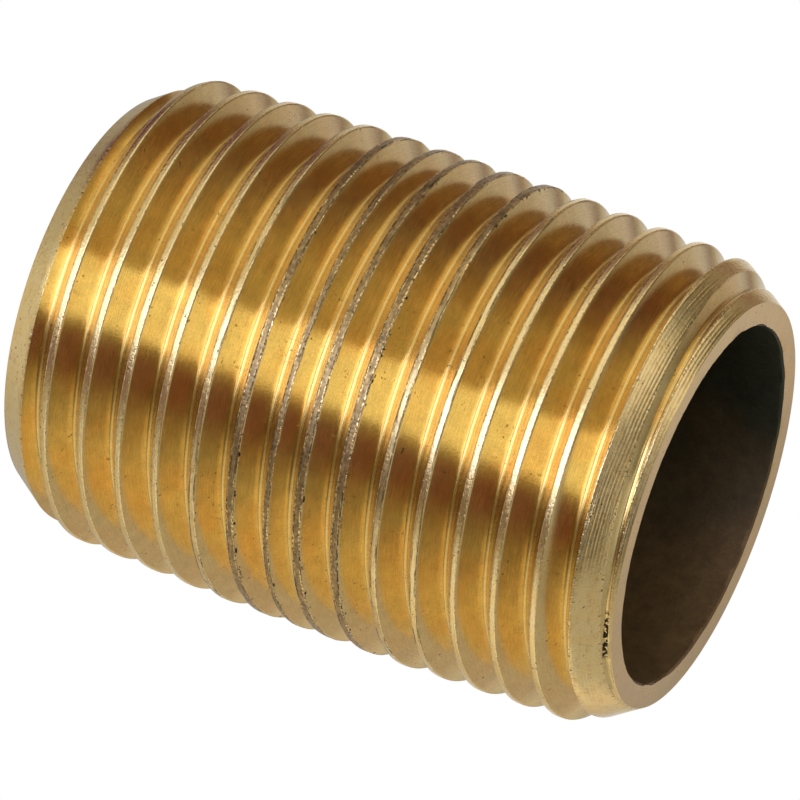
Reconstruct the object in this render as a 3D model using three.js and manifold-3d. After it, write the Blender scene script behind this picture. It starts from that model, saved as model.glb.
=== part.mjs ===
// Close pipe nipple, 1/2-14 NPT x 1-1/8 in nominal: one piece of brass tube, threaded from both ends.
// Millimetres, +Z up. The nipple stands on one end, its bore along +Z and the origin at the centre of the
// lower end face. Angles around the nipple are counted from -Y, counter-clockwise seen from above.
import * as THREE from 'three';
import { mergeVertices } from 'three/addons/utils/BufferGeometryUtils.js';
import Module from 'manifold-3d';

const INCH = 25.4;

// Tube
const LENGTH = 28.74;
const PIPE_RADIUS = 0.840 * INCH / 2;
const BORE_RADIUS = 0.625 * INCH / 2;
const BORE_EDGE_BREAK = 0.08;

// Taper pipe thread: 14 per inch, 60 degrees, 1 in 16 on the diameter, right hand, with a narrow flat for the
// groove's rounded root
const PITCH = INCH / 14;
const TAPER = 1 / 32;
const END_CREST_RADIUS = 10.357;
const THREAD_DEPTH = 1.09;
const ROOT_FLAT = 0.27;
const FLANK_SLOPE = Math.tan(Math.PI / 6);

// Lead-in bevel on both ends
const END_FACE_RADIUS = 9.02;
const BEVEL_SLOPE = 0.66;

// Where the groove crosses the -Y side, by its number of turns: turn 0 is the first whole groove
const FIRST_GROOVE_Z = 1.563;
const START_TURN = -1.5;
const END_TURN = 15.75;

// The two threads are cut from opposite ends, and meet a little out of step in a shallower groove
const MEET_START_TURN = 5.9;
const MEET_END_TURN = 7.9;
const MEET_OFFSET = 0.486;
const MEET_SHALLOWER = 0.22;

// Facets in one turn, how far the thread cutter stands out of the crests, and the finest edge that is kept
const FACETS = 48;
const CUTTER_MARGIN = 0.05;
const FINEST_EDGE = 0.01;

// Radius of the thread's crest cone at height z, which narrows towards both ends.
function crestConeRadius(z) {
  return END_CREST_RADIUS + TAPER * Math.min(z, LENGTH - z);
}

// Radius of the blank at height z, before its bevels are cut: the crest cone, as far as the pipe's own skin.
function blankRadius(z) {
  return Math.min(crestConeRadius(z), PIPE_RADIUS);
}

// How far the threads have met at a turn, from 0 below the meeting groove to 1 above it.
function meetProgress(turn) {
  return THREE.MathUtils.smoothstep(turn, MEET_START_TURN, MEET_END_TURN);
}

function grooveHeight(turn) {
  return FIRST_GROOVE_Z + PITCH * turn - MEET_OFFSET * meetProgress(turn);
}

function grooveDepth(turn) {
  const met = meetProgress(turn);
  return THREAD_DEPTH - MEET_SHALLOWER * 4 * met * (1 - met);
}

// The tube with its taper, bevels and bore, as a ring profile turned about the axis.
function blankGeometry() {
  const bevelLength = (END_CREST_RADIUS - END_FACE_RADIUS) / (BEVEL_SLOPE - TAPER);
  const coneLength = (PIPE_RADIUS - END_CREST_RADIUS) / TAPER;
  const lowerHalf = [
    [BORE_RADIUS, BORE_EDGE_BREAK],
    [BORE_RADIUS + BORE_EDGE_BREAK, 0],
    [END_FACE_RADIUS, 0],
    [crestConeRadius(bevelLength), bevelLength],
    [PIPE_RADIUS, coneLength],
  ];
  const upperHalf = lowerHalf.map(([radius, z]) => [radius, LENGTH - z]).reverse();
  const outline = [...lowerHalf, ...upperHalf, lowerHalf[0]];
  const points = outline.map(([radius, z]) => new THREE.Vector2(radius, z));
  return new THREE.LatheGeometry(points, FACETS).rotateX(Math.PI / 2);
}

// A straight bar with a V edge, bent round the nipple into the groove's helix. Along the bar, z counts turns;
// across it, x is the side (-1 or 1) and y the depth (0 at the groove's root, 1 outside the crests).
function threadCutterGeometry() {
  const section = new THREE.Shape([
    new THREE.Vector2(-1, 0),
    new THREE.Vector2(1, 0),
    new THREE.Vector2(1, 1),
    new THREE.Vector2(-1, 1),
  ]);
  const turns = END_TURN - START_TURN;
  const steps = Math.round(turns * FACETS);
  const bar = new THREE.ExtrudeGeometry(section, { depth: turns, steps, bevelEnabled: false });
  const position = bar.attributes.position;
  for (let i = 0; i < position.count; i++) {
    const turn = START_TURN + position.getZ(i);
    const centre = grooveHeight(turn);
    const rootRadius = crestConeRadius(centre) - grooveDepth(turn);
    const outerRadius = blankRadius(centre) + CUTTER_MARGIN;
    const radius = THREE.MathUtils.lerp(rootRadius, outerRadius, position.getY(i));
    const halfWidth = ROOT_FLAT / 2 + (radius - rootRadius) * FLANK_SLOPE;
    const angle = turn * 2 * Math.PI;
    position.setXYZ(
      i,
      radius * Math.sin(angle),
      -radius * Math.cos(angle),
      centre + position.getX(i) * halfWidth,
    );
  }
  return bar;
}

// Turn a closed three.js geometry into a manifold solid, and back.
function toSolid(wasm, geometry) {
  const bare = geometry.clone();
  bare.deleteAttribute('normal');
  bare.deleteAttribute('uv');
  const merged = mergeVertices(bare, 1e-4);
  const mesh = new wasm.Mesh({
    numProp: 3,
    vertProperties: new Float32Array(merged.attributes.position.array),
    triVerts: new Uint32Array(merged.index.array),
  });
  return new wasm.Manifold(mesh);
}

function toGeometry(solid) {
  const mesh = solid.getMesh();
  const geometry = new THREE.BufferGeometry();
  geometry.setAttribute('position', new THREE.BufferAttribute(mesh.vertProperties, 3));
  geometry.setIndex(new THREE.BufferAttribute(mesh.triVerts, 1));
  geometry.computeVertexNormals();
  return geometry;
}

const wasm = await Module();
wasm.setup();

const blank = toSolid(wasm, blankGeometry());
const cutter = toSolid(wasm, threadCutterGeometry());
const threaded = blank.subtract(cutter).asOriginal().simplify(FINEST_EDGE);

const brass = new THREE.MeshStandardMaterial({ color: 0xc8973c, roughness: 0.32, metalness: 1.0 });
const nipple = new THREE.Mesh(toGeometry(threaded), brass);
nipple.name = 'nipple';

const group = new THREE.Group();
group.add(nipple);

export default group;
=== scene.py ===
"""Looks of the brass close nipple: fine threaded mesh, machined brass, camera, floor and studio light.

Lengths are millimetres until they become Blender metres (MM). The nipple stands on its lower end, its bore
along +Z. Angles around it are counted from -Y, counter-clockwise seen from above. A turn of the thread is a
whole number where it passes -Y.
"""

import math

import bpy
import numpy as np
from mathutils import Matrix, Vector


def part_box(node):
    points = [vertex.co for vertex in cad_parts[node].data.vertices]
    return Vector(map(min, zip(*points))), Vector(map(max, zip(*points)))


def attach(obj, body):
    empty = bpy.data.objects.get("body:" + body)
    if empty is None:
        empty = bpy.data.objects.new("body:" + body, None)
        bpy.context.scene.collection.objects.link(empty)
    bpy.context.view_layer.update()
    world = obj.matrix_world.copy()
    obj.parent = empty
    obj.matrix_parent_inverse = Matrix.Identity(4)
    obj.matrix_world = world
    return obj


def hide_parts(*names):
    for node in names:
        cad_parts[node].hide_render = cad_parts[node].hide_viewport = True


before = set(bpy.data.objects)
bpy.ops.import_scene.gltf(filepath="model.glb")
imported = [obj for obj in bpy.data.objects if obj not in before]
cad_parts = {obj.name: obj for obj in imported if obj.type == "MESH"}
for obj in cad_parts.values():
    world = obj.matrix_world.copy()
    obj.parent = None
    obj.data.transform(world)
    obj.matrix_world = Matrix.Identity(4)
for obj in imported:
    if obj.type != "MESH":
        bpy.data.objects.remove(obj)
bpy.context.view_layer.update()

MM = 0.001
low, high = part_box("nipple")
LENGTH = (high.z - low.z) / MM
PIPE_RADIUS = (high.x - low.x) / 2 / MM

# Taper pipe thread, as in the CAD model
PITCH = 25.4 / 14
TAPER = 1 / 32
END_CREST_RADIUS = 10.357
THREAD_DEPTH = 1.175
FLANK_SLOPE = math.tan(math.radians(30))
ROOT_HALF_FLAT = 0.05
ROOT_ROUND = 0.04
FIRST_GROOVE_Z = 1.563
FIRST_TURN = -2
LAST_TURN = 17
MEET_START, MEET_END = 5.9, 7.9
MEET_OFFSET = 0.486
MEET_SHALLOWER = 0.22
RUN_OUT_START, RUN_OUT_END = 14.5, 15.1
RUN_OUT_DEEPER = 0.13

# Ends and bore
END_FACE_RADIUS = 9.02
BEVEL_SLOPE = 0.66
BEVEL_SOFTNESS = 0.06
BEVEL_HEIGHT = 2.1
UPPER_BEVEL_SHIFT = 0.06
BORE_RADIUS = 7.9375
BORE_EDGE_BREAK = 0.08
BORE_SHIFT = 0.07
MOUTH_WANDER = 0.018
MOUTH_SMOOTHING = 5
MOUTH_RING_GAP = 0.12
INNER_RINGS = 7

# Mesh: columns round the nipple, and the rows in each turn of the thread
COLUMNS = 300
COLUMN_TURNS = np.arange(COLUMNS) / COLUMNS
COLUMN_ANGLES = 2 * np.pi * COLUMN_TURNS
FLANK_SHARES = (0.0, 0.07, 0.1, 0.15, 0.32, 0.95, 1.0)
CREST_SHARES = (0.25, 0.75)
TURN_ROWS = 2 * len(FLANK_SHARES) + len(CREST_SHARES) + 1
END_CLEARANCE = 0.02
SHARP_ANGLE = 42

# A crest's edge is a small chamfer between the flank and the crest
EDGE_DROP = 0.015
EDGE_WIDTH = 0.03

# Search for a groove's half width: its first value, its number of steps and the least it may find
FIRST_HALF_WIDTH = 0.7
EDGE_STEPS = 14
THINNEST_GROOVE = 0.02

# Places across the thread, from 0 at one root to 1 at the next
FLANK_END, CREST_START, CREST_END = 0.38, 0.40, 0.60

# Torn and worn crest edges: how far they wander. Between the two skin heights the crests are the pipe's own
# skin, elsewhere they are turned
EDGE_WANDER_TURNED = 0.004
EDGE_WANDER_SKIN = 0.012
EDGE_WANDER_BEVEL = 0.007
SKIN_LOW, SKIN_HIGH = 10.2, 18.4
SKIN_BLEND = 0.5
EDGE_SMOOTHING = 7
RANDOM_SEED = 7

FLANK, CREST, FACE, BORE = range(4)


def smoothstep(x, start, end):
    t = np.clip((x - start) / (end - start), 0, 1)
    return t * t * (3 - 2 * t)


def soft_min(a, b, softness):
    """The smaller of two values, with the corner where they cross rounded off."""
    gap = a - b
    return 0.5 * (a + b - np.sqrt(gap * gap + softness**2))


# ---------------------------------------------------------------- shape


def crest_cone(z):
    """Radius of the thread's crest cone, which narrows towards both ends."""
    return END_CREST_RADIUS + TAPER * np.minimum(z, LENGTH - z)


def blank_radius(z, angle):
    """Radius of the tube before threading: crest cone, pipe skin and both bevels.

    The upper bevel lies a little off centre.
    """
    body = np.minimum(crest_cone(z), PIPE_RADIUS)
    bevel = END_FACE_RADIUS + BEVEL_SLOPE * np.minimum(z, LENGTH - z)
    bevel = bevel - UPPER_BEVEL_SHIFT * np.cos(angle) * (z > LENGTH / 2)
    return soft_min(body, bevel, BEVEL_SOFTNESS)


def meet_progress(turn):
    """0 on the thread cut from the lower end, 1 on the one from the upper end, smooth where they meet."""
    return smoothstep(turn, MEET_START, MEET_END)


def groove_height(turn):
    return FIRST_GROOVE_Z + PITCH * turn - MEET_OFFSET * meet_progress(turn)


def groove_root_radius(turn):
    met = meet_progress(turn)
    depth = THREAD_DEPTH - MEET_SHALLOWER * 4 * met * (1 - met)
    depth = depth + RUN_OUT_DEEPER * smoothstep(turn, RUN_OUT_START, RUN_OUT_END)
    return crest_cone(groove_height(turn)) - depth


def groove_radius(turn, half_width):
    """Radius of the groove at a distance from its centre line: a narrow flat root, rounded into flanks."""
    beyond = np.maximum(half_width - ROOT_HALF_FLAT, 0)
    return groove_root_radius(turn) + (np.hypot(beyond, ROOT_ROUND) - ROOT_ROUND) / FLANK_SLOPE


def groove_edge(turn, side):
    """Distance from the groove's centre to its edge on one side, where its flank reaches the blank."""
    centre = groove_height(turn)
    root_radius = groove_root_radius(turn)
    half = np.full_like(centre, FIRST_HALF_WIDTH)
    for _ in range(EDGE_STEPS):
        rim_radius = blank_radius(centre + side * half, 2 * np.pi * turn)
        rise = np.maximum(rim_radius - root_radius - EDGE_DROP, 0)
        reach = ROOT_HALF_FLAT + np.sqrt((rise * FLANK_SLOPE + ROOT_ROUND) ** 2 - ROOT_ROUND**2)
        half = 0.5 * half + 0.5 * np.maximum(reach, THINNEST_GROOVE)
    return half


def wander(random):
    """Random unevenness along the whole thread, one value around 0 for each column of each turn."""
    values = random.normal(size=(LAST_TURN + 1 - FIRST_TURN) * COLUMNS)
    coarse = np.convolve(values, np.ones(EDGE_SMOOTHING) / math.sqrt(EDGE_SMOOTHING), "same")
    return (0.5 * values + 0.5 * coarse).reshape(-1, COLUMNS)


def thread_rows(turn, shifts):
    """Height, radius, kind and place across the thread of each row of one turn, for every column.

    The rows run from a groove's root up one flank, over the crest and down the next groove's flank. Their
    place across goes from 0 at one root to 1 at the next. The four shifts move the crest's two edges, each
    along the nipple and outwards.
    """
    angle = 2 * np.pi * turn
    up_edge = groove_edge(turn, 1)
    down_edge = groove_edge(turn + 1, -1)
    crest_low = groove_height(turn) + up_edge + EDGE_WIDTH
    crest_high = groove_height(turn + 1) - down_edge - EDGE_WIDTH
    skin = smoothstep(crest_low, SKIN_LOW - SKIN_BLEND, SKIN_LOW + SKIN_BLEND)
    skin *= 1 - smoothstep(crest_low, SKIN_HIGH - SKIN_BLEND, SKIN_HIGH + SKIN_BLEND)
    bevelled = np.minimum(crest_low, LENGTH - crest_high) < BEVEL_HEIGHT
    size = EDGE_WANDER_TURNED + (EDGE_WANDER_SKIN - EDGE_WANDER_TURNED) * skin
    size = np.where(bevelled, EDGE_WANDER_BEVEL, size)

    def flank_row(groove, edge, side, share):
        half = edge * share
        z = groove_height(groove) + side * half
        radius = np.minimum(groove_radius(groove, half), blank_radius(z, angle))
        across = FLANK_END * share if side > 0 else 1 - FLANK_END * share
        return z, radius, FLANK, across

    def edge_row(z, along, outward, across):
        z = z + size * along
        return z, blank_radius(z, angle) + 0.5 * size * outward, CREST, across

    rows = [flank_row(turn, up_edge, 1, share) for share in FLANK_SHARES]
    rows.append(edge_row(crest_low, *shifts[:2], CREST_START))
    for share in CREST_SHARES:
        z = crest_low + share * (crest_high - crest_low)
        across = CREST_START + share * (CREST_END - CREST_START)
        rows.append((z, blank_radius(z, angle), CREST, across))
    rows.append(edge_row(crest_high, *shifts[2:], CREST_END))
    rows += [flank_row(turn + 1, down_edge, -1, share) for share in reversed(FLANK_SHARES[1:])]
    return rows


class MeshParts:
    """The nipple's points and faces as they are made, in columns round its axis."""

    def __init__(self):
        self.points, self.faces, self.uvs, self.slots = [], [], [], []

    def add_point(self, radius, z, column):
        angle = COLUMN_ANGLES[column]
        self.points.append((radius * math.sin(angle), -radius * math.cos(angle), z))
        return len(self.points) - 1

    def ring(self, radius, z):
        """Points all round at one height, with one radius or one for each column."""
        radii = np.broadcast_to(radius, COLUMNS)
        return [self.add_point(r, z, column) for column, r in enumerate(radii)]

    def bore_ring(self, radius, z):
        """A ring round the bore's own axis, which lies a little in front of the thread's."""
        return self.ring(radius + BORE_SHIFT * np.cos(COLUMN_ANGLES), z)

    def add_face(self, corners, slot, uvs=None):
        self.faces.append(corners)
        self.slots.append(slot)
        self.uvs.extend(uvs or [(0.0, 0.0)] * len(corners))

    def band(self, outer, inner, slot):
        """The faces between two rings."""
        for column in range(COLUMNS):
            after = (column + 1) % COLUMNS
            self.add_face([outer[column], outer[after], inner[after], inner[column]], slot)

    def mesh(self, name):
        """Everything added so far as one Blender mesh, smooth except over sharp edges."""
        mesh = bpy.data.meshes.new(name)
        mesh.from_pydata([tuple(MM * c for c in point) for point in self.points], [], self.faces)
        layer = mesh.uv_layers.new(name="thread")
        layer.data.foreach_set("uv", np.array(self.uvs, np.float32).ravel())
        mesh.polygons.foreach_set("material_index", np.array(self.slots, np.int32))
        mesh.shade_smooth()
        mesh.set_sharp_from_angle(angle=math.radians(SHARP_ANGLE))
        return mesh


class Thread:
    """The rows of the whole thread, turn after turn, and the mesh points made for them."""

    def __init__(self, random):
        shifts = [wander(random) for _ in range(4)]
        heights, radii, self.kinds, self.places, self.turns = [], [], [], [], []
        for number, whole in enumerate(range(FIRST_TURN, LAST_TURN)):
            turn_shifts = [shift[number] for shift in shifts]
            for z, radius, kind, across in thread_rows(whole + COLUMN_TURNS, turn_shifts):
                heights.append(z)
                radii.append(radius)
                self.kinds.append(kind)
                self.places.append(across)
                self.turns.append(whole)
        self.heights, self.radii = np.array(heights), np.array(radii)
        self.point_at = {}
        self.across_at = {}

    def add_points(self, parts):
        """Makes the points that lie between the two ends."""
        between_ends = (self.heights > END_CLEARANCE) & (self.heights < LENGTH - END_CLEARANCE)
        for row, column in zip(*np.nonzero(between_ends)):
            point = parts.add_point(self.radii[row, column], self.heights[row, column], column)
            self.point_at[int(row), int(column)] = point
            self.across_at[point] = self.places[row]

    def point_after(self, row, column):
        """The point one column on: past the last column, the same groove is one turn further up."""
        if column + 1 < COLUMNS:
            return self.point_at.get((row, column + 1))
        return self.point_at.get((row + TURN_ROWS, 0))

    def add_strip(self, parts, row, column):
        """The face between a row and the next, from one column to the next."""
        corners = [
            self.point_at[row, column],
            self.point_after(row, column),
            self.point_after(row + 1, column),
            self.point_at[row + 1, column],
        ]
        here = self.turns[row] + column / COLUMNS
        there = here + 1 / COLUMNS
        uvs = [(turn, self.across_at[corner]) for turn, corner in zip((here, there, there, here), corners)]
        if self.turns[row + 1] != self.turns[row]:
            uvs[2:] = [(there, 1.0), (here, 1.0)]
        on_crest = CREST in (self.kinds[row], self.kinds[row + 1])
        parts.add_face(corners, CREST if on_crest else FLANK, uvs)

    def close_end(self, parts, end_ring, column, mine, theirs, facing_down=False):
        """Joins an end ring to the nearest rows of two neighbouring columns with a fan of triangles."""
        here = self.turns[mine[0]] + column / COLUMNS
        there = here + 1 / COLUMNS
        rim = [(self.point_at[row, column], here) for row in mine]
        rim += [(self.point_after(row, column), there) for row in theirs]
        rim.append((end_ring[(column + 1) % COLUMNS], there))
        for pair in zip(rim, rim[1:]):
            corners = [(end_ring[column], here), *pair]
            if facing_down:
                corners.reverse()
            uvs = [(turn, self.across_at.get(point, 0.5)) for point, turn in corners]
            parts.add_face([point for point, _ in corners], CREST, uvs)

    def add_faces(self, parts, lower_ring, upper_ring):
        """The whole threaded surface, column by column, joined to the rings at both ends."""
        rows = range(len(self.kinds))
        for column in range(COLUMNS):
            mine = [row for row in rows if (row, column) in self.point_at]
            theirs = [row for row in rows if self.point_after(row, column) is not None]
            first, last = max(mine[0], theirs[0]), min(mine[-1], theirs[-1])
            for row in range(first, last):
                self.add_strip(parts, row, column)
            below = range(mine[0], first + 1), range(first, theirs[0] - 1, -1)
            above = range(mine[-1], last - 1, -1), range(last, theirs[-1] + 1)
            self.close_end(parts, lower_ring, column, *below, facing_down=True)
            self.close_end(parts, upper_ring, column, *above)


def add_faces_and_bore(parts, random, lower_ring, upper_ring):
    """From the upper end's rim over its flat face, down the bore and out over the lower face."""
    face_middle = (BORE_RADIUS + BORE_EDGE_BREAK + END_FACE_RADIUS) / 2
    smoothing = np.ones(MOUTH_SMOOTHING) / math.sqrt(MOUTH_SMOOTHING)
    mouth_noise = np.convolve(random.normal(size=COLUMNS), smoothing, "same")
    bore_edge = BORE_RADIUS + BORE_EDGE_BREAK + MOUTH_WANDER * mouth_noise
    near_mouth = BORE_EDGE_BREAK + MOUTH_RING_GAP
    inside = np.linspace(LENGTH - near_mouth, near_mouth, INNER_RINGS)
    depths = (LENGTH - BORE_EDGE_BREAK, *inside, BORE_EDGE_BREAK)

    upper_face = [parts.ring(face_middle, LENGTH), parts.bore_ring(bore_edge, LENGTH)]
    bore_rings = [parts.bore_ring(BORE_RADIUS, float(z)) for z in depths]
    lower_face = [parts.bore_ring(bore_edge, 0.0), parts.ring(face_middle, 0.0)]
    rings = [upper_ring, *upper_face, *bore_rings, *lower_face, lower_ring]
    slots = [FACE, FACE] + [BORE] * (len(bore_rings) + 1) + [FACE, FACE]
    for outer, inner, slot in zip(rings, rings[1:], slots):
        parts.band(outer, inner, slot)


def nipple_mesh():
    """The whole nipple as one closed mesh.

    Its UV map "thread" holds the turns along the groove and the place across it.
    """
    random = np.random.default_rng(RANDOM_SEED)
    parts = MeshParts()
    thread = Thread(random)
    thread.add_points(parts)
    lower_ring = parts.ring(blank_radius(0.0, COLUMN_ANGLES), 0.0)
    upper_ring = parts.ring(blank_radius(LENGTH, COLUMN_ANGLES), LENGTH)
    thread.add_faces(parts, lower_ring, upper_ring)
    add_faces_and_bore(parts, random, lower_ring, upper_ring)
    return parts.mesh("nipple_fine")


# ---------------------------------------------------------------- node trees


class Nodes:
    """Short calls for building one node tree."""

    def __init__(self, tree):
        self.tree = tree
        tree.nodes.clear()

    def add(self, kind, inputs=None, **settings):
        node = self.tree.nodes.new(kind)
        for name, value in settings.items():
            setattr(node, name, value)
        for name, value in (inputs or {}).items():
            if isinstance(value, bpy.types.NodeSocket):
                self.tree.links.new(value, node.inputs[name])
            else:
                node.inputs[name].default_value = value
        return node

    def math(self, operation, *values):
        return self.add("ShaderNodeMath", dict(enumerate(values)), operation=operation).outputs[0]

    def ramp(self, value, *stops):
        node = self.add("ShaderNodeValToRGB", {0: value})
        elements = node.color_ramp.elements
        while len(elements) < len(stops):
            elements.new(0.5)
        for element, (position, colour) in zip(elements, stops):
            element.position = position
            element.color = rgba(colour)
        return node.outputs[0]

    def mix(self, share, a, b):
        node = self.add("ShaderNodeMix", {0: share, 6: a, 7: b}, data_type="RGBA")
        return node.outputs[2]

    def noise(self, vector, scale, detail=2.0, roughness=0.5):
        node = self.add(
            "ShaderNodeTexNoise",
            {"Vector": vector, "Scale": scale, "Detail": detail, "Roughness": roughness},
        )
        return node.outputs[0]

    def vector(self, x, y):
        return self.add("ShaderNodeCombineXYZ", {0: x, 1: y}).outputs[0]

    def step(self, value, start, end):
        """0 below start, 1 above end, smooth between."""
        node = self.add(
            "ShaderNodeMapRange",
            {0: value, 1: start, 2: end},
            interpolation_type="SMOOTHSTEP",
        )
        return node.outputs[0]

    def bump(self, height, distance, normal=None):
        inputs = {"Height": height, "Distance": distance, "Strength": 1.0}
        if normal is not None:
            inputs["Normal"] = normal
        return self.add("ShaderNodeBump", inputs).outputs[0]


def rgba(colour):
    if hasattr(colour, "__len__"):
        return (*colour[:3], 1.0)
    return (colour, colour, colour, 1.0)


# ---------------------------------------------------------------- materials

FLANK_YELLOW = (0.81, 0.60, 0.25)
FLANK_ORANGE = (0.82, 0.57, 0.225)
# Painted highlight colour along the thread's root
ROOT_HIGHLIGHT_GOLD = (0.88, 0.60, 0.19)
FLANK_DIRT = (0.03, 0.022, 0.015)
TURNED_PALE = (0.98, 0.70, 0.305)
TURNED_DEEP = (0.97, 0.67, 0.265)
SKIN_DARK = (0.29, 0.18, 0.075)
SKIN_LIGHT = (0.55, 0.355, 0.14)
CREST_GRIME = (0.085, 0.070, 0.028)
BURR_BRIGHT = (0.98, 0.78, 0.45)
BURR_DARK = (0.10, 0.075, 0.03)
CREST_DIRT = (0.02, 0.015, 0.01)
FACE_PALE = (0.93, 0.65, 0.33)
FACE_DEEP = (0.85, 0.60, 0.30)
FACE_DIRT = (0.08, 0.06, 0.04)
OXIDE_GREEN = (0.058, 0.060, 0.032)
BORE_SIDE_BROWN = (0.25, 0.145, 0.055)

# Where marks lie: degrees round the nipple, and heights in millimetres
PIT_ROW_AZIMUTHS = (37, 53)
PIT_ROW_HEIGHTS = (LENGTH - 0.34, LENGTH - 0.16)
TURNED_LINES_AZIMUTHS = (-62, 24)
TURNED_LINES_SPACING = 0.125
GRIME_HEIGHTS = (9.0, 21.5)
FACE_LINES_SPACING = 0.09
WAVER_PHASE = 5.0


class Surface(Nodes):
    """One brass surface: its coordinates, and the shader that the material's own nodes feed."""

    def __init__(self, name):
        self.material = bpy.data.materials.new(name)
        self.material.use_nodes = True
        super().__init__(self.material.node_tree)
        place = self.add("ShaderNodeTexCoord").outputs["Object"]
        self.place = self.scaled(place, 1 / MM)
        self.x, self.y, self.z = self.add("ShaderNodeSeparateXYZ", {0: self.place}).outputs
        uv = self.add("ShaderNodeUVMap", uv_map="thread").outputs[0]
        self.turn, self.across, _ = self.add("ShaderNodeSeparateXYZ", {0: uv}).outputs

    def along_thread(self, turn_scale, across_scale, **settings):
        """Noise drawn out along the thread, as a threading die leaves it."""
        where = self.vector(self.times(self.turn, turn_scale), self.times(self.across, across_scale))
        return self.noise(where, 1.0, **settings)

    def grain(self, scale, **settings):
        """Noise of the same size in every direction; the scale is in waves per millimetre."""
        return self.noise(self.place, scale, **settings)

    def times(self, a, b):
        return self.math("MULTIPLY", a, b)

    def around(self, value, amount):
        """1 plus the value's departure from one half, times the amount."""
        return self.math("MULTIPLY_ADD", value, amount, 1 - amount / 2)

    def without(self, value):
        """What is left of 1 when the value is taken away."""
        return self.math("SUBTRACT", 1.0, value)

    def plus_times(self, base, value, amount):
        """The base, and the value times the amount on top of it."""
        return self.math("MULTIPLY_ADD", value, amount, base)

    def product(self, *values):
        result = values[0]
        for value in values[1:]:
            result = self.times(result, value)
        return result

    def scaled(self, vector, factor):
        return self.add("ShaderNodeVectorMath", {0: vector, 3: factor}, operation="SCALE").outputs[0]

    def band(self, value, start, end, soft):
        """1 between start and end, 0 outside."""
        above = self.step(value, start - soft, start + soft)
        return self.times(above, self.without(self.step(value, end - soft, end + soft)))

    def azimuth(self):
        """Degrees round the nipple from -Y."""
        angle = self.math("ARCTAN2", self.x, self.times(self.y, -1.0))
        return self.times(angle, 180 / math.pi)

    def specks(self, scale):
        """Small dark dirt spots of uneven size, gathered in some areas."""
        spots = self.step(self.grain(scale, detail=1.0), 0.71, 0.74)
        return self.times(spots, self.step(self.grain(0.6, detail=1.0), 0.48, 0.6))

    def radius(self):
        squares = self.math("MULTIPLY_ADD", self.x, self.x, self.times(self.y, self.y))
        return self.math("SQRT", squares)

    def ripples(self, distance, spacing, waver):
        """Height of a row of fine turned grooves, 0 to 1, measured along a distance."""
        phase = self.math("MULTIPLY_ADD", distance, 2 * math.pi / spacing, self.times(waver, WAVER_PHASE))
        return self.math("MULTIPLY_ADD", self.math("SINE", phase), 0.5, 0.5)

    def finish(self, colour, roughness, normal, anisotropic=0.0, metallic=1.0):
        inputs = {"Base Color": colour, "Metallic": metallic, "Roughness": roughness, "Normal": normal}
        if anisotropic:
            inputs["Anisotropic"] = anisotropic
            inputs["Anisotropic Rotation"] = 0.25
            inputs["Tangent"] = self.add("ShaderNodeTangent", direction_type="RADIAL", axis="Z").outputs[0]
        shader = self.add("ShaderNodeBsdfPrincipled", inputs)
        self.add("ShaderNodeOutputMaterial", {"Surface": shader.outputs[0]})
        return self.material


def skin_share(s):
    """1 where the crests are the pipe's own skin, 0 where they were turned, with an uneven border."""
    z = s.math("ADD", s.z, s.math("MULTIPLY_ADD", s.grain(1.0), 1.2, -0.6))
    return s.band(z, SKIN_LOW, SKIN_HIGH, SKIN_BLEND)


def pit_row(s):
    """A short row of dark pits on the upper bevel, along the last trace of the thread."""
    return s.product(
        s.band(s.azimuth(), *PIT_ROW_AZIMUTHS, 1.0),
        s.band(s.z, *PIT_ROW_HEIGHTS, 0.02),
        s.step(s.grain(5.0, detail=1.0), 0.455, 0.505),
    )


def flank_brass():
    """Thread flanks: drawn-out tool lines, soft mottling, a few specks, and pits beside the torn crests."""
    s = Surface("brass_flank")
    lines = s.along_thread(9, 60, detail=3.0, roughness=0.65)
    fine = s.along_thread(90, 110, detail=1.0)
    streaks = s.along_thread(60, 10, detail=2.0)
    mottle = s.grain(1.3, detail=3.0)
    grit = s.grain(12.0, detail=2.0, roughness=0.7)

    # Brass, made lighter and more golden along the thread's root as a painted highlight
    patches = s.step(s.grain(0.45, detail=1.0), 0.42, 0.66)
    colour = s.mix(patches, rgba(FLANK_YELLOW), rgba(FLANK_ORANGE))
    from_root = s.math("MINIMUM", s.across, s.without(s.across))
    root = s.without(s.step(from_root, 0.025, 0.045))
    colour = s.mix(root, colour, rgba(ROOT_HIGHLIGHT_GOLD))
    shade = s.product(
        s.around(lines, 0.28),
        s.around(mottle, 0.3),
        s.around(grit, 0.5),
        s.around(fine, 0.4),
    )

    # Pits and dirt
    beside_crest = s.band(s.across, 0.605, 0.65, 0.01)
    torn = s.step(s.along_thread(220, 9, detail=1.0), 0.6, 0.66)
    stretches = s.step(s.along_thread(7, 0.5), 0.47, 0.6)
    pits = s.product(beside_crest, torn, stretches, skin_share(s))
    specks = s.times(s.specks(6.0), 0.7)
    dirt = s.math("MAXIMUM", specks, s.math("MAXIMUM", pits, pit_row(s)))
    colour = s.mix(dirt, s.scaled(colour, shade), rgba(FLANK_DIRT))

    roughness = s.plus_times(0.08, fine, 0.12)
    roughness = s.plus_times(roughness, root, 0.12)
    height = s.math("ADD", s.times(lines, 0.6), s.times(fine, 0.25))
    height = s.math("SUBTRACT", height, s.times(dirt, 3.0))
    normal = s.bump(s.grain(1.1, detail=3.0), 0.003 * MM)
    normal = s.bump(streaks, 0.002 * MM, normal)
    normal = s.bump(grit, 0.0016 * MM, normal)
    normal = s.bump(height, 0.0016 * MM, normal)
    return s.finish(colour, roughness, normal, anisotropic=0.9)


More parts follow.
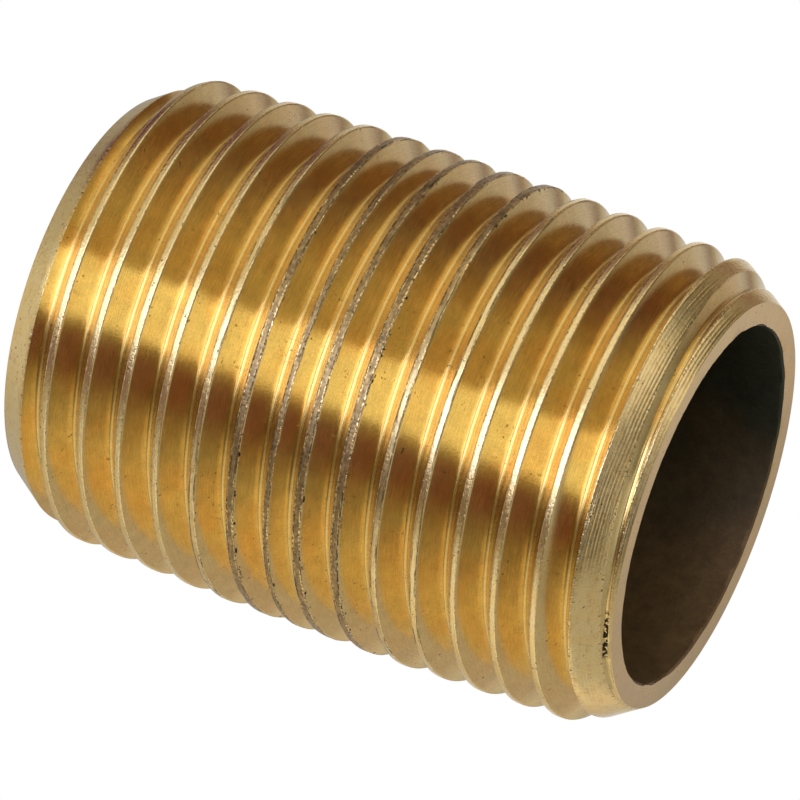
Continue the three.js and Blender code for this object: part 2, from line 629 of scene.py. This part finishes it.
def crest_brass():
    """Crests and bevels: turned brass near the ends, dull torn pipe skin in the middle."""
    s = Surface("brass_crest")
    skin = skin_share(s)
    on_upper_bevel = s.step(s.z, LENGTH - BEVEL_HEIGHT - 0.1, LENGTH - BEVEL_HEIGHT + 0.1)
    on_lower_bevel = s.without(s.step(s.z, BEVEL_HEIGHT - 0.1, BEVEL_HEIGHT + 0.1))
    coarse = s.grain(6.0, detail=3.0, roughness=0.7)
    fine = s.grain(16.0, detail=2.0, roughness=0.7)
    mottle = s.grain(1.5, detail=2.0)
    scratches = s.along_thread(260, 14, detail=2.0, roughness=0.7)
    streaks = s.along_thread(110, 26, detail=2.0, roughness=0.6)

    # Turned brass, with deep lines round part of the upper bevel; the lines are also painted into the colour as
    # shade
    azimuth = s.azimuth()
    line_depth = s.noise(s.vector(s.times(s.z, 4.0), s.times(azimuth, 0.02)), 1.0)
    deep_lines = s.plus_times(0.15, s.band(azimuth, *TURNED_LINES_AZIMUTHS, 5.0), 0.85)
    line_depth = s.product(s.step(line_depth, 0.3, 0.62), on_upper_bevel, deep_lines)
    ripples = s.times(s.ripples(s.z, TURNED_LINES_SPACING, s.noise(s.place, 0.35)), line_depth)
    turned = s.mix(s.step(mottle, 0.4, 0.65), rgba(TURNED_PALE), rgba(TURNED_DEEP))
    shade = s.product(
        s.around(coarse, 0.45),
        s.around(scratches, 0.4),
        s.around(fine, 0.4),
        s.around(streaks, 0.8),
    )
    # Painted shade and light along the turned lines: their ridges are drawn darker in the colour where the lines
    # are deep.
    shade = s.times(shade, s.plus_times(1.08, ripples, -0.5))
    turned = s.scaled(turned, s.math("MINIMUM", shade, 1.06))

    # Pipe skin, bright again where its edges were torn off
    dull = s.mix(s.step(coarse, 0.3, 0.7), rgba(SKIN_DARK), rgba(SKIN_LIGHT))
    shade = s.product(s.around(scratches, 1.0), s.around(mottle, 0.7), s.around(streaks, 1.0))
    dull = s.scaled(dull, shade)
    from_middle = s.math("ABSOLUTE", s.math("SUBTRACT", s.across, 0.5))
    from_middle = s.times(from_middle, 2 / (CREST_END - CREST_START))
    ragged = s.step(s.along_thread(480, 12, detail=1.0), 0.45, 0.54)
    bright_edge = s.product(s.step(from_middle, 0.45, 0.75), ragged, s.step(s.grain(1.2), 0.34, 0.5))
    colour = s.mix(s.times(skin, s.without(bright_edge)), turned, dull)

    # Grime along the crests' edges, most of it in the middle of the nipple and none on the bevels
    on_crest = s.without(s.math("MAXIMUM", on_upper_bevel, on_lower_bevel))
    on_crest = s.times(on_crest, s.plus_times(0.15, s.band(s.z, *GRIME_HEIGHTS, 1.5), 0.85))
    grime = s.step(s.along_thread(45, 16, detail=3.0, roughness=0.65), 0.48, 0.55)
    grime = s.product(on_crest, s.step(from_middle, 0.42, 0.72), grime)
    colour = s.mix(s.times(grime, 0.78), colour, rgba(CREST_GRIME))

    # Burrs and nicks on the very edge, then pits and specks
    edge_line = s.step(from_middle, 0.84, 0.96)
    flecks = s.along_thread(330, 5, detail=1.0)
    burrs = s.times(edge_line, s.step(flecks, 0.56, 0.62))
    nicks = s.product(edge_line, s.without(s.step(flecks, 0.38, 0.46)), s.step(streaks, 0.4, 0.6))
    colour = s.mix(s.times(burrs, 0.7), colour, rgba(BURR_BRIGHT))
    colour = s.mix(s.times(nicks, 0.75), colour, rgba(BURR_DARK))
    dirt = s.math("MAXIMUM", pit_row(s), s.times(s.specks(7.0), 0.8))
    colour = s.mix(dirt, colour, rgba(CREST_DIRT))

    roughness = s.plus_times(0.11, coarse, 0.18)
    roughness = s.plus_times(roughness, skin, 0.2)
    roughness = s.plus_times(roughness, s.times(skin, bright_edge), -0.2)
    roughness = s.plus_times(roughness, grime, 0.15)
    grit = s.plus_times(s.plus_times(0.55, on_lower_bevel, 0.5), skin, 0.7)
    normal = s.bump(s.times(coarse, grit), 0.018 * MM)
    normal = s.bump(s.math("ADD", fine, scratches), 0.006 * MM, normal)
    normal = s.bump(ripples, 0.010 * MM, normal)
    normal = s.bump(s.math("SUBTRACT", burrs, nicks), 0.007 * MM, normal)
    normal = s.bump(dirt, -0.03 * MM, normal)
    return s.finish(colour, roughness, normal, anisotropic=0.7)


def face_brass():
    """End faces: parted off, with close circular lines, a satin look and painted shade towards +X and +Y."""
    s = Surface("brass_face")
    mottle = s.grain(1.2, detail=3.0)
    cloud = s.grain(0.12, detail=1.0)
    fine = s.grain(14.0, detail=2.0)
    ripples = s.ripples(s.radius(), FACE_LINES_SPACING, s.noise(s.place, 0.5))
    colour = s.mix(s.step(cloud, 0.35, 0.65), rgba(FACE_PALE), rgba(FACE_DEEP))
    shade = s.product(s.around(mottle, 0.3), s.around(fine, 0.4), s.around(ripples, 0.14))
    colour = s.scaled(colour, shade)
    # Painted shade: the end faces are drawn darker towards +X and +Y and lighter towards -X and -Y.
    painted_side_shade = s.plus_times(s.plus_times(0.955, s.y, -0.013), s.x, -0.015)
    colour = s.scaled(colour, painted_side_shade)
    colour = s.mix(s.times(s.specks(6.0), 0.6), colour, rgba(FACE_DIRT))
    roughness = s.plus_times(0.26, mottle, 0.2)
    normal = s.bump(fine, 0.003 * MM)
    normal = s.bump(ripples, 0.0015 * MM, normal)
    return s.finish(colour, roughness, normal, anisotropic=0.5)


def bore_brass():
    """Bore: the pipe's own inside, under a dark green-black oxide, drawn lighter and red-brown towards +X and
    +Y.
    """
    s = Surface("brass_bore")
    cloud = s.grain(0.16, detail=2.0)
    mottle = s.grain(1.6, detail=4.0, roughness=0.65)
    fine = s.grain(9.0, detail=2.0)
    # Lighter and red-brown towards +X and +Y, with an uneven border.
    side = s.plus_times(s.math("ADD", s.x, s.y), cloud, 12.0)
    colour = s.mix(s.step(side, 7.0, 18.0), rgba(OXIDE_GREEN), rgba(BORE_SIDE_BROWN))
    colour = s.scaled(colour, s.product(s.around(mottle, 0.9), s.around(fine, 0.5)))
    roughness = s.plus_times(0.4, mottle, 0.25)
    normal = s.bump(s.math("ADD", mottle, s.times(fine, 0.3)), 0.02 * MM)
    return s.finish(colour, roughness, normal, metallic=0.6)


# ---------------------------------------------------------------- studio

# Brightness of the surroundings by azimuth, in degrees from -Y, in bands from straight below to overhead
DARK_LEFT = (0.10, 0.04, 0.10)
DARK_RIGHT = (0.20, 0.115, 0.18)
DARK_OLIVE = (0.19, 0.12, 0.10)
KEY = (2.5, 2.75, 4.2)
KEY_BELOW = (1.25, 1.45, 1.75)
NADIR = ((-180, 0.42), (-60, 0.38), (0, 0.74), (30, 0.53), (70, 0.6), (130, 0.6), (180, 0.5))
LOW = (
    (-180, 0.38),
    (-145, 0.37),
    (-130, 0.26),
    (-118, DARK_LEFT),
    (-86, DARK_LEFT),
    (-72, (0.22, 0.18, 0.15)),
    (-56, (0.45, 0.42, 0.37)),
    (-40, (0.48, 0.46, 0.39)),
    (-18, (0.56, 0.54, 0.46)),
    (-16, KEY_BELOW),
    (15, KEY_BELOW),
    (20, 0.35),
    (28, DARK_RIGHT),
    (42, DARK_RIGHT),
    (60, 0.29),
    (78, 0.36),
    (100, 0.39),
    (125, 0.46),
    (180, 0.42),
)
MIDDLE = (
    (-180, 1.15),
    (-166, 1.0),
    (-150, 0.68),
    (-134, 0.62),
    (-121, (0.47, 0.42, 0.32)),
    (-110, DARK_OLIVE),
    (-92, DARK_OLIVE),
    (-82, 0.50),
    (-68, 0.95),
    (-40, 0.98),
    (-18, 0.78),
    (-16, KEY),
    (15, KEY),
    (19, 0.4),
    (26, (0.14, 0.11, 0.06)),
    (42, (0.17, 0.14, 0.08)),
    (56, 0.82),
    (75, 0.95),
    (92, (0.83, 0.78, 0.66)),
    (125, (0.47, 0.42, 0.32)),
    (152, 0.62),
    (168, 0.85),
    (180, 1.0),
)
HIGH = (
    (-180, 0.46),
    (-163, (0.62, 0.62, 0.68)),
    (-150, (0.46, 0.42, 0.42)),
    (-134, (0.23, 0.20, 0.17)),
    (-122, (0.15, 0.13, 0.09)),
    (-95, 0.2),
    (-80, 0.55),
    (-62, 0.85),
    (-45, 0.75),
    (-22, 0.34),
    (0, 0.22),
    (20, 0.15),
    (46, 0.17),
    (66, 0.40),
    (130, 0.44),
    (152, (0.49, 0.42, 0.36)),
    (166, (0.48, 0.43, 0.38)),
    (180, 0.46),
)
TOP = ((-180, 0.4), (-133, 0.35), (-90, 0.2), (-30, 0.2), (-5, 0.6), (50, 0.6), (70, 0.38), (180, 0.4))

# Elevations, in degrees, over which each band takes over from the one below it
TAKES_OVER = ((LOW, -68, -52), (MIDDLE, -26, -17), (HIGH, 4, 16), (TOP, 50, 64))

# The middle band is looked up at a share of the azimuth that shrinks with elevation, so that its bright and
# dark parts lean away from the front as they rise
LEAN_SHARE = 0.772
LEAN_PER_DEGREE = -0.012
LEAN_FROM = -19.0


def studio_world():
    """Soft studio light as the nipple reflects it; the camera itself sees plain white."""
    world = bpy.data.worlds.new("studio")
    world.use_nodes = True
    n = Nodes(world.node_tree)
    direction = n.add("ShaderNodeTexCoord").outputs["Generated"]
    x, y, z = n.add("ShaderNodeSeparateXYZ", {0: direction}).outputs
    azimuth = n.math("ARCTAN2", x, n.math("MULTIPLY", y, -1.0))
    around = n.math("MULTIPLY_ADD", azimuth, 0.5 / math.pi, 0.5)
    elevation = n.math("MULTIPLY", n.math("ARCSINE", z), 180 / math.pi)

    lean = n.math("MULTIPLY_ADD", n.math("MAXIMUM", elevation, LEAN_FROM), LEAN_PER_DEGREE, LEAN_SHARE)
    leaning = n.math("MULTIPLY_ADD", n.math("MULTIPLY", azimuth, lean), 0.5 / math.pi, 0.5)

    def band(stops):
        place = leaning if stops is MIDDLE else around
        return n.ramp(place, *((degrees / 360 + 0.5, colour) for degrees, colour in stops))

    light = band(NADIR)
    for stops, start, end in TAKES_OVER:
        light = n.mix(n.step(elevation, start, end), light, band(stops))
    seen = n.add("ShaderNodeLightPath").outputs["Is Camera Ray"]
    colour = n.mix(seen, light, rgba(1.0))
    background = n.add("ShaderNodeBackground", {"Color": colour, "Strength": 1.0})
    n.add("ShaderNodeOutputWorld", {"Surface": background.outputs[0]})
    bpy.context.scene.world = world


FLOOR_SIZE = 1.2


def floor():
    """A white floor that only the camera sees, so it lights and shades nothing."""
    bpy.ops.mesh.primitive_plane_add(size=FLOOR_SIZE, location=(0, 0, 0))
    plane = bpy.context.object
    plane.name = "floor"
    material = bpy.data.materials.new("floor_white")
    material.use_nodes = True
    n = Nodes(material.node_tree)
    glow = n.add("ShaderNodeEmission", {"Color": rgba(1.0), "Strength": 1.0})
    n.add("ShaderNodeOutputMaterial", {"Surface": glow.outputs[0]})
    plane.data.materials.append(material)
    plane.visible_glossy = False
    plane.visible_diffuse = False
    plane.visible_shadow = False


# Camera: millimetres and degrees
CAMERA_DISTANCE = 273.47
CAMERA_ELEVATION = 19.384
CAMERA_SIDEWAYS = -0.00031
CAMERA_ROLL = 109.506
CAMERA_LENS = 287.53
AIM = (0.085, 0.0, 14.349)


def camera():
    """A long lens, in front of the nipple and a little above it, rolled so that the nipple leans to one side."""
    data = bpy.data.cameras.new("camera")
    data.lens = CAMERA_LENS
    data.clip_start = 0.01
    data.clip_end = 10
    cam = bpy.data.objects.new("camera", data)
    bpy.context.scene.collection.objects.link(cam)
    tilt = math.radians(CAMERA_ELEVATION)
    back = Vector((CAMERA_SIDEWAYS, -math.cos(tilt), math.sin(tilt))).normalized()
    aim = Vector(AIM) * MM
    turn = back.to_track_quat("Z", "Y").to_matrix()
    roll = Matrix.Rotation(math.radians(CAMERA_ROLL), 3, "Z")
    place = Matrix.Translation(aim + back * CAMERA_DISTANCE * MM)
    cam.matrix_world = place @ (turn @ roll).to_4x4()
    bpy.context.scene.camera = cam


camera()
mesh = nipple_mesh()
nipple = bpy.data.objects.new("brass_nipple", mesh)
bpy.context.scene.collection.objects.link(nipple)
for make in (flank_brass, crest_brass, face_brass, bore_brass):
    mesh.materials.append(make())
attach(nipple, "root")
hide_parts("nipple")

studio_world()
floor()
bpy.context.scene.view_settings.view_transform = "Standard"
